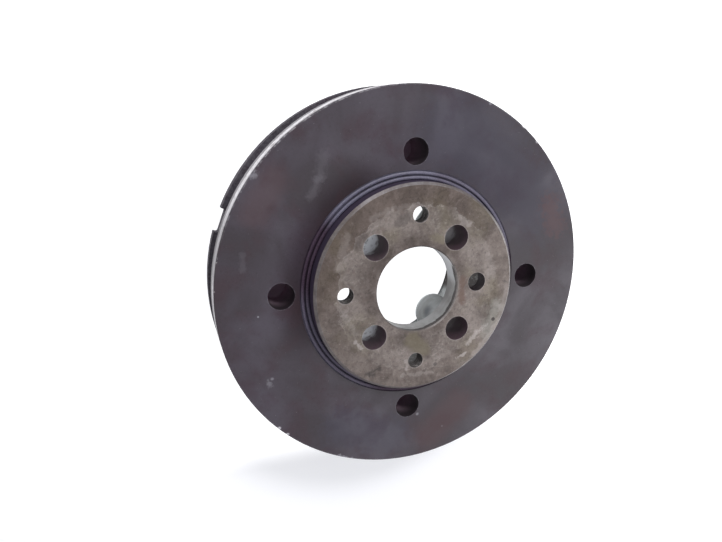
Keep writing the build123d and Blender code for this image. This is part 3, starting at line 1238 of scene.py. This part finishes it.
        unturned = box.most(rough_cast, holes, small, pin_hole)
        rough = box.blend(*self.face_roughness, clouds)
        rough = box.blend(rough, self.bright_roughness, chamfer_highlight)
        rough = box.blend(rough, self.unturned_roughness, unturned)
        metal = box.blend(*self.face_metal, flecks)
        metal = box.blend(metal, self.bright_metal, chamfer_highlight)
        metal = box.blend(metal, self.unturned_metal, box.most(unturned, side))
        normal = box.relief(box.rings(self.tool_marks), self.tool_marks.depth)
        normal = box.relief(box.grain(self.fine), self.fine_depth, normal)
        normal = box.relief(clouds, self.cloud_depth, normal)
        normal = box.relief(self.threads(box, small), self.thread_depth, normal)
        gloss = box.blend(*self.gloss, box.most(side, pin_hole))
        return box.finish(colour, rough, metal, normal, gloss)


@dataclass(frozen=True)
class MouldedRubber:
    """Moulded black elastomer with a dull bluish sheen, with a painted highlight on the tops of its
    lips and painted shade where the lips face away from the light.

    Its fields are given in the way that the dark coating gives them.
    """

    dark: Colour = (0.050, 0.046, 0.068)
    light: Colour = (0.105, 0.100, 0.145)
    # Dusty lip tops with a painted highlight, and painted shade where the lips face away from the
    # light.
    dust_and_highlight: Colour = (0.20, 0.19, 0.26)
    painted_shade: Colour = (0.40, 0.27, 0.30)

    crest: float = 36.7
    crest_edge: Span = (-0.25, 0.0)
    # Painted light: the sides on which the lips are not darkened and keep their sheen.
    top_lighting_arc: Arc = Arc(108.0, 24.0, 16.0)
    left_lighting_arc: Arc = Arc(215.0, 22.0, 20.0)
    right_lighting_arc: Arc = Arc(48.0, 22.0, 16.0)

    fine: Grain = Grain(0.35, 3.0, 0.6, seed=6.1)
    clouds: Blotches = Blotches(Grain(8.0, 4.0, 0.6, seed=2.4), 0.38, 0.66)
    crest_gaps: Blotches = Blotches(fine, 0.35, 0.6, 0.3, 1.0)
    roughness: Blotches = Blotches(fine, 0.3, 0.7, 0.42, 0.6)
    fine_depth: float = 0.02
    light_strength: float = 0.6
    # Painted light: how strongly the lip tops and the lit sides show.
    crest_highlight_strength: float = 0.7
    left_lighting_strength: float = 0.5
    right_lighting_strength: float = 0.7
    gloss: Span = (0.12, 0.42)

    def material(self) -> bpy.types.Material:
        """Build the rubber's material.

        Returns:
            The finished material.
        """
        box = Paintbox("moulded_rubber")
        light = box.product(box.blotches(self.clouds), self.light_strength)
        colour = box.lay(self.dark, self.light, light)
        # Dusty lip tops with a painted highlight.
        crest_highlight = box.product(box.edge(box.z, self.crest, self.crest_edge),
                             box.blotches(self.crest_gaps), self.crest_highlight_strength)
        colour = box.lay(colour, self.dust_and_highlight, crest_highlight)
        # Painted light and shade: the lips keep colour and sheen on their lit sides and are
        # darkened elsewhere.
        painted_lit_side = box.most(box.sector(self.top_lighting_arc),
                         box.product(box.sector(self.left_lighting_arc), self.left_lighting_strength),
                         box.product(box.sector(self.right_lighting_arc), self.right_lighting_strength))
        colour = box.lay(colour, self.painted_shade, box.sum(Sum.SUBTRACT, 1.0, painted_lit_side), Blend.DARKEN)
        normal = box.relief(box.grain(self.fine), self.fine_depth)
        gloss = box.blend(*self.gloss, painted_lit_side)
        return box.finish(colour, box.blotches(self.roughness), 0.0, normal, gloss)


@dataclass
class InertiaRing:
    """The heavy outer ring, shown as the solid it is."""

    node: str = "inertia_ring"
    coating: DarkCoating = DarkCoating()

    def dress(self) -> None:
        """Give the ring its coating."""
        dress_node(self.node, self.coating.material())


@dataclass
class Hub:
    """The bolted hub, shown as the solid it is."""

    node: str = "hub"
    steel: TurnedSteel = TurnedSteel()

    def dress(self) -> None:
        """Give the hub its bare steel."""
        dress_node(self.node, self.steel.material())


@dataclass
class ElastomerRing:
    """The bonded rubber ring, with two rounded lips in front and a dished rear.

    Lengths are millimetres. The lips' fullness and roundness are powers that square their
    sides and crowns: 1 gives half an ellipse.
    """

    node: str = "elastomer_ring"
    inner: float = 44.7
    outer: float = 48.8
    front: float = 36.5
    rear: float = 9.7
    groove: float = 0.3
    groove_depth: float = 0.6
    inner_rise: float = 0.5
    outer_rise: float = 0.3
    outer_flat: float = 0.35
    flat_drop: float = 0.1
    lip_foot: float = 0.02
    lip_steps: int = 14
    lip_fullness: float = 0.95
    lip_roundness: float = 0.8
    rear_dish: float = 0.6
    rear_steps: int = 10
    segments: int = 256
    rubber: MouldedRubber = MouldedRubber()

    def lip(self, start: float, width: float, rise: float) -> list[Place]:
        """Trace one rounded lip from its inner foot to its outer foot.

        Args:
            start: Radius where the lip begins.
            width: Width of the lip.
            rise: How far it stands above the ring's face.

        Returns:
            Points as radius and height.
        """
        foot = self.front - self.groove_depth
        height = rise + self.groove_depth
        points = []
        for index in range(self.lip_steps + 1):
            turn = math.pi * (1.0 - index / self.lip_steps)
            reach = math.cos(turn)
            across = math.copysign(abs(reach) ** self.lip_fullness, reach)
            up = math.sin(turn) ** self.lip_roundness
            points.append((start + width / 2 * (1.0 + across), foot + height * up))
        return points

    def profile(self) -> list[Place]:
        """Trace the ring's closed section.

        Returns:
            Points as radius and height.
        """
        flat_start = self.outer - self.outer_flat
        flat_height = self.front - self.flat_drop
        width = (flat_start - self.inner - self.groove) / 2
        points = self.lip(self.inner, width, self.inner_rise)
        points += self.lip(flat_start - width, width, self.outer_rise)
        points += [(flat_start + self.lip_foot, flat_height), (self.outer, flat_height)]
        for index in range(self.rear_steps + 1):
            share = index / self.rear_steps
            radius = self.outer + (self.inner - self.outer) * share
            points.append((radius, self.rear + self.rear_dish * math.sin(math.pi * share)))
        return points

    def build(self) -> bpy.types.Object:
        """Turn the section round the axis and dress it.

        Returns:
            The finished piece.
        """
        piece = turned("elastomer_fine", self.profile(), self.segments)
        piece.data.materials.append(self.rubber.material())
        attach(piece, BODY)
        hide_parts(self.node)
        return piece


def turned(name: str, profile: Sequence[Place], segments: int) -> bpy.types.Object:
    """Turn a closed section round the axis.

    Args:
        name: Name of the new piece.
        profile: Section points as radius and height in millimetres.
        segments: Number of steps round the axis.

    Returns:
        The new piece, smooth shaded.
    """
    points = []
    for index in range(segments):
        turn = FULL_TURN * index / segments
        for radius, height in profile:
            points.append((radius * math.cos(turn) * MM, radius * math.sin(turn) * MM, height * MM))
    count = len(profile)
    faces = []
    for index in range(segments):
        here = index * count
        there = (index + 1) % segments * count
        for step in range(count):
            after = (step + 1) % count
            faces.append((here + step, there + step, there + after, here + after))
    mesh = bpy.data.meshes.new(name)
    mesh.from_pydata(points, [], faces)
    mesh.validate()
    mesh.shade_smooth()
    piece = bpy.data.objects.new(name, mesh)
    bpy.context.scene.collection.objects.link(piece)
    return piece


def dress_node(node: str, material: bpy.types.Material) -> None:
    """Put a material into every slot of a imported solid.

    Args:
        node: Name of the solid.
        material: The finish it gets.
    """
    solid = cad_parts[node]
    if not solid.material_slots:
        solid.data.materials.append(material)
    for place in solid.material_slots:
        place.material = material


@dataclass(frozen=True)
class Lamp:
    """One soft round lamp that points at the part. Lengths are metres."""

    name: str
    place: Point
    size: float
    watts: float
    target: Point = (0.0, 0.0, 0.03)
    hidden: bool = False

    def hang(self) -> None:
        """Hang the lamp and turn it to its target."""
        data = bpy.data.lights.new(self.name, "AREA")
        data.shape = "DISK"
        data.size = self.size
        data.energy = self.watts
        lamp = bpy.data.objects.new(self.name, data)
        lamp.location = self.place
        aim = Vector(self.target) - Vector(self.place)
        lamp.rotation_euler = aim.to_track_quat("-Z", "Y").to_euler()
        lamp.visible_camera = not self.hidden
        lamp.visible_glossy = not self.hidden
        bpy.context.scene.collection.objects.link(lamp)


@dataclass(frozen=True)
class Studio:
    """Pale floor, soft lamps, white surround and the camera. Lengths are metres."""

    floor_size: float = 3.0
    floor_drop: float = 0.0001
    floor_tint: Colour = (0.75, 0.75, 0.76)
    floor_lift: float = 0.85
    front_lift: float = 0.29
    front_fade: Span = (-0.100, -0.082)
    # Painted light: the floor glows full white under the hub, over the hub's shadow.
    under_glow: float = 1.0
    under_glow_fade: Span = (0.040, 0.042)
    sky_low: Colour = (0.72, 0.74, 0.80)
    sky_high: Colour = (0.40, 0.41, 0.45)
    sky_fade: Span = (0.1, 0.85)
    lens: float = 30.875
    sensor: float = 36.0
    clip: Span = (0.01, 20.0)
    camera_place: Point = (-0.10388, 0.07386, 0.26833)
    camera_turn: Point = (-15.248, -19.069, 0.745)
    lamps: Tuple[Lamp, ...] = (
        Lamp("lamp_side", (0.80, -0.40, 0.94), 0.9, 6.0),
        Lamp("lamp_low", (-0.45, 1.10, 0.40), 0.8, 3.6),
        Lamp("lamp_top", (0.30, 0.80, 0.90), 0.3, 6.4),
        Lamp("lamp_under", (0.0, 0.0, 0.001), 0.066, 0.024, target=(0.0, 0.0, 1.0), hidden=True),
    )

    def floor_material(self) -> bpy.types.Material:
        """Build the floor's material, white to the eye but still able to hold a shadow.

        Its glow is painted light: full white under the hub's open rear, over the hub's shadow,
        and less in front of the part, where the shadow falls.

        Returns:
            The finished material.
        """
        material = bpy.data.materials.new("pale_floor")
        material.use_nodes = True
        board = NodeBoard(material.node_tree)
        place = board.node("ShaderNodeTexCoord").outputs["Object"]
        _, along, _ = board.split(place)
        open_floor = board.fade(along, *self.front_fade, self.front_lift, self.floor_lift)
        from_axis = board.arrow(Arrow.LENGTH, place)
        # Painted light: full white under the hub, over its shadow.
        white = board.fade(from_axis, *self.under_glow_fade, self.under_glow, open_floor)
        matt = board.node("ShaderNodeBsdfDiffuse")
        board.feed(matt.inputs["Color"], self.floor_tint)
        lift = board.node("ShaderNodeEmission")
        board.feed(lift.inputs["Strength"], board.product(board.backdrop_rays(), white))
        both = board.node("ShaderNodeAddShader")
        board.join(matt.outputs[0], both.inputs[0])
        board.join(lift.outputs[0], both.inputs[1])
        output = board.node("ShaderNodeOutputMaterial")
        board.join(both.outputs[0], output.inputs["Surface"])
        return material

    def lay_floor(self) -> None:
        """Lay the floor just under the part."""
        half = self.floor_size / 2
        mesh = bpy.data.meshes.new("floor")
        corners = [(-half, -half, 0.0), (half, -half, 0.0), (half, half, 0.0), (-half, half, 0.0)]
        mesh.from_pydata(corners, [], [(0, 1, 2, 3)])
        mesh.materials.append(self.floor_material())
        floor = bpy.data.objects.new("floor", mesh)
        floor.location.z = -self.floor_drop
        bpy.context.scene.collection.objects.link(floor)

    def light_surround(self) -> None:
        """Light the surround softly, and show it white to the eye and in the metal."""
        world = bpy.data.worlds.new("surround")
        bpy.context.scene.world = world
        world.use_nodes = True
        board = NodeBoard(world.node_tree)
        _, _, up = board.split(board.node("ShaderNodeTexCoord").outputs["Generated"])
        sky = board.lay(self.sky_low, self.sky_high, board.fade(up, *self.sky_fade))
        soft = board.node("ShaderNodeBackground")
        board.feed(soft.inputs["Color"], sky)
        white = board.node("ShaderNodeBackground")
        board.feed(white.inputs["Color"], WHITE)
        choice = board.node("ShaderNodeMixShader")
        board.join(board.backdrop_rays(), choice.inputs[0])
        board.join(soft.outputs[0], choice.inputs[1])
        board.join(white.outputs[0], choice.inputs[2])
        output = board.node("ShaderNodeOutputWorld")
        board.join(choice.outputs[0], output.inputs["Surface"])

    def set_camera(self) -> None:
        """Set the camera over the part, looking down on its bolting face."""
        data = bpy.data.cameras.new("camera")
        data.sensor_fit = "HORIZONTAL"
        data.sensor_width = self.sensor
        data.lens = self.lens
        data.clip_start, data.clip_end = self.clip
        camera = bpy.data.objects.new("camera", data)
        camera.location = self.camera_place
        camera.rotation_euler = Euler([math.radians(angle) for angle in self.camera_turn], "XYZ")
        bpy.context.scene.collection.objects.link(camera)
        bpy.context.scene.camera = camera

    def build(self) -> None:
        """Build the whole studio."""
        self.lay_floor()
        self.light_surround()
        for lamp in self.lamps:
            lamp.hang()
        self.set_camera()


def main() -> None:
    """Build and dress the balancer and set the studio round it."""
    logging.basicConfig(level=logging.INFO, format="%(message)s")
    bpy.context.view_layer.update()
    InertiaRing().dress()
    log.info("inertia ring dressed")
    Hub().dress()
    log.info("hub dressed")
    piece = ElastomerRing().build()
    log.info("elastomer ring built with %d faces", len(piece.data.polygons))
    Studio().build()
    log.info("studio set")
    bpy.context.scene.view_settings.view_transform = "Standard"
    bpy.context.view_layer.update()


if __name__ == "__main__":
    main()
